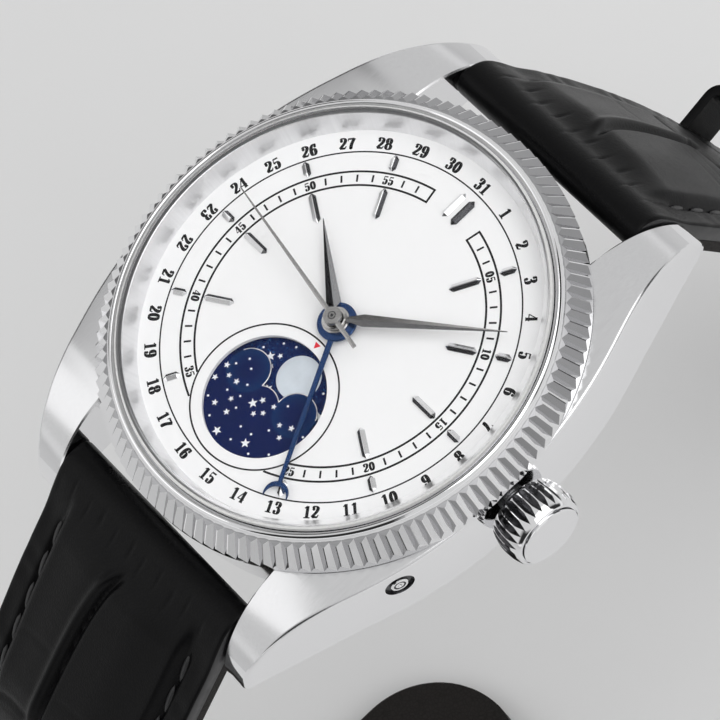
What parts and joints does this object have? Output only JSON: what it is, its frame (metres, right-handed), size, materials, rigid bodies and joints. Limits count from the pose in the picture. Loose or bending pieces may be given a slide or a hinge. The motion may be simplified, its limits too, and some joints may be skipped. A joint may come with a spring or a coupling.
{
  "type": "moon phase watch",
  "caption": "Round wristwatch with a fluted bezel, white dial, moon phase window, central date hand, display back and padded leather strap with a pin buckle.",
  "frame": {"origin": "centre of the case back's flat outer face", "axes": "+Z out of the dial, +Y to twelve o'clock, +X to the crown"},
  "size_m": [0.0447, 0.0903, 0.0799],
  "materials": {
    "polished_steel": "mirror polished steel",
    "brushed_steel": "finely brushed steel",
    "crystal_glass": "clear sapphire",
    "white_seal": "matt",
    "dial_lacquer": "glossy white lacquer",
    "marker_steel": "mirror polished",
    "hand_steel": "polished facets",
    "blued_steel": "polished blue",
    "moon_blue": "glossy dark blue",
    "gilt_brass": "satin gilt",
    "movement_steel": "polished",
    "nickel_plate": "striped nickel plate",
    "rotor_metal": "striped and polished",
    "ruby": "polished ruby",
    "black_rubber": "matt",
    "black_leather": "semi-gloss embossed grain",
    "lining_leather": "matt smooth",
    "strap_padding": "matt"
  },
  "bodies": {
    "case": {"case_middle": "polished_steel", "bezel": "polished_steel", "crystal": "crystal_glass", "crystal_gasket": "white_seal", "rehaut_ring": "brushed_steel", "dial": "dial_lacquer", "hour_markers": "marker_steel", "moon_cover": "moon_blue", "crown_tube": "brushed_steel", "corrector_gasket": "black_rubber", "case_back_ring": "brushed_steel", "case_back_glass": "crystal_glass", "case_back_gasket": "black_rubber", "back_glass_gasket": "white_seal", "movement_ring": "brushed_steel", "main_plate": "nickel_plate", "train_bridge": "nickel_plate", "balance_cock": "nickel_plate", "bridge_screws": "blued_steel", "jewels": "ruby", "hairspring": "blued_steel", "rotor_bearing": "movement_steel", "spring_bars": "brushed_steel"},
    "crown_seal": {"crown_gasket": "black_rubber"},
    "crown": {"crown": "polished_steel", "winding_stem": "movement_steel", "winding_pinion": "movement_steel"},
    "corrector": {"corrector_button": "polished_steel"},
    "seconds": {"seconds_hand": "hand_steel", "fourth_wheel": "gilt_brass"},
    "minutes": {"minute_hand": "hand_steel", "cannon_pinion": "movement_steel", "centre_wheel": "gilt_brass"},
    "hours": {"hour_hand": "hand_steel", "hour_wheel": "gilt_brass"},
    "date": {"date_hand": "blued_steel", "date_wheel": "gilt_brass"},
    "moon": {"moon_disc": "moon_blue"},
    "minute_wheel": {"minute_wheel": "gilt_brass"},
    "third": {"third_wheel": "gilt_brass"},
    "escape": {"escape_wheel": "movement_steel"},
    "pallets": {"pallet_fork": "movement_steel"},
    "balance": {"balance_wheel": "gilt_brass"},
    "barrel": {"mainspring_barrel": "gilt_brass"},
    "ratchet": {"ratchet_wheel": "movement_steel"},
    "crown_wheel": {"crown_wheel": "movement_steel"},
    "click": {"click": "movement_steel"},
    "rotor": {"rotor": "rotor_metal"},
    "strap_12": {"strap_12_upper": "black_leather", "strap_12_padding": "strap_padding", "strap_12_lining": "lining_leather", "fixed_keeper": "black_leather", "buckle_bar": "brushed_steel"},
    "free_keeper": {"free_keeper": "black_leather"},
    "buckle": {"buckle_frame": "polished_steel"},
    "tongue": {"buckle_tongue": "polished_steel"},
    "strap_6": {"strap_6_upper": "black_leather", "strap_6_padding": "strap_padding", "strap_6_lining": "lining_leather"}
  },
  "joints": [
    {"name": "crown_pull", "type": "slide", "parent": "case", "child": "crown_seal", "axis": [1, 0, 0], "range_m": [0, 0.001]},
    {"name": "crown_turn", "type": "hinge", "parent": "crown_seal", "child": "crown", "pos_m": [0, 0, 0.0042], "axis": [1, 0, 0], "continuous": true},
    {"name": "corrector_press", "type": "slide", "parent": "case", "child": "corrector", "axis": [-0.9614, 0.275, 0], "range_m": [0, 0.0005], "stiffness_N_per_m": 400},
    {"name": "seconds_turn", "type": "hinge", "parent": "case", "child": "seconds", "pos_m": [0, 0, 0.0082], "axis": [0, 0, -1], "continuous": true},
    {"name": "minutes_turn", "type": "hinge", "parent": "case", "child": "minutes", "pos_m": [0, 0, 0.0082], "axis": [0, 0, -1], "continuous": true},
    {"name": "hours_turn", "type": "hinge", "parent": "case", "child": "hours", "pos_m": [0, 0, 0.0082], "axis": [0, 0, -1], "continuous": true},
    {"name": "minute_wheel_turn", "type": "hinge", "parent": "case", "child": "minute_wheel", "pos_m": [-0.00255, 0.00255, 0.0066], "axis": [0, 0, -1], "continuous": true},
    {"name": "third_wheel_turn", "type": "hinge", "parent": "case", "child": "third", "pos_m": [0.00399, -0.0023, 0.0045], "axis": [0, 0, -1], "continuous": true},
    {"name": "escape_wheel_turn", "type": "hinge", "parent": "case", "child": "escape", "pos_m": [-0.00404, -0.00147, 0.0045], "axis": [0, 0, -1], "continuous": true},
    {"name": "barrel_turn", "type": "hinge", "parent": "case", "child": "barrel", "pos_m": [0.00299, 0.00521, 0.0055], "axis": [0, 0, -1], "continuous": true},
    {"name": "date_turn", "type": "hinge", "parent": "case", "child": "date", "pos_m": [0, 0, 0.0072], "axis": [0, 0, -1], "continuous": true},
    {"name": "moon_turn", "type": "hinge", "parent": "case", "child": "moon", "pos_m": [0, -0.0082, 0.0072], "axis": [0, 0, -1], "continuous": true},
    {"name": "pallets_swing", "type": "hinge", "parent": "case", "child": "pallets", "pos_m": [-0.00577, -0.00332, 0.005], "axis": [0, 0, -1], "range_deg": [-4, 4]},
    {"name": "balance_swing", "type": "hinge", "parent": "case", "child": "balance", "pos_m": [-0.00771, -0.0054, 0.0045], "axis": [0, 0, -1], "range_deg": [-135, 135], "stiffness_Nm_per_rad": 0.0000006},
    {"name": "rotor_turn", "type": "hinge", "parent": "case", "child": "rotor", "pos_m": [0, 0, 0.0023], "axis": [0, 0, -1], "continuous": true},
    {"name": "ratchet_turn", "type": "hinge", "parent": "case", "child": "ratchet", "pos_m": [0.00299, 0.00521, 0.003], "axis": [0, 0, -1], "continuous": true},
    {"name": "crown_wheel_turn", "type": "hinge", "parent": "case", "child": "crown_wheel", "pos_m": [0.00811, 0.00201, 0.003], "axis": [0, 0, -1], "continuous": true},
    {"name": "click_lift", "type": "hinge", "parent": "case", "child": "click", "pos_m": [-0.00056, 0.00681, 0.003], "axis": [0, 0, 1], "range_deg": [0, 12], "stiffness_Nm_per_rad": 0.0002},
    {"name": "strap_12_swing", "type": "hinge", "parent": "case", "child": "strap_12", "pos_m": [0, 0.0228, 0.0027], "axis": [1, 0, 0], "range_deg": [-8, 25]},
    {"name": "free_keeper_slide", "type": "slide", "parent": "strap_12", "child": "free_keeper", "axis": [0, 0.2181, -0.9759], "range_m": [0, 0.008]},
    {"name": "buckle_swing", "type": "hinge", "parent": "strap_12", "child": "buckle", "pos_m": [0, 0.03922, -0.05456], "axis": [1, 0, 0], "range_deg": [-60, 50]},
    {"name": "tongue_lift", "type": "hinge", "parent": "buckle", "child": "tongue", "pos_m": [0, 0.03922, -0.05456], "axis": [1, 0, 0], "range_deg": [0, 75]},
    {"name": "strap_6_swing", "type": "hinge", "parent": "case", "child": "strap_6", "pos_m": [0, -0.0228, 0.0027], "axis": [-1, 0, 0], "range_deg": [-12, 25]}
  ],
  "couplings": [
    {"joint": "minutes_turn", "follows": "seconds_turn", "ratio": 0.016667},
    {"joint": "hours_turn", "follows": "seconds_turn", "ratio": 0.0013889},
    {"joint": "minute_wheel_turn", "follows": "seconds_turn", "ratio": -0.0055556},
    {"joint": "third_wheel_turn", "follows": "seconds_turn", "ratio": -0.13333},
    {"joint": "escape_wheel_turn", "follows": "seconds_turn", "ratio": -12},
    {"joint": "barrel_turn", "follows": "seconds_turn", "ratio": -0.0027778},
    {"joint": "crown_wheel_turn", "follows": "crown_turn", "ratio": 0.38889},
    {"joint": "ratchet_turn", "follows": "crown_turn", "ratio": -0.58333}
  ]
}
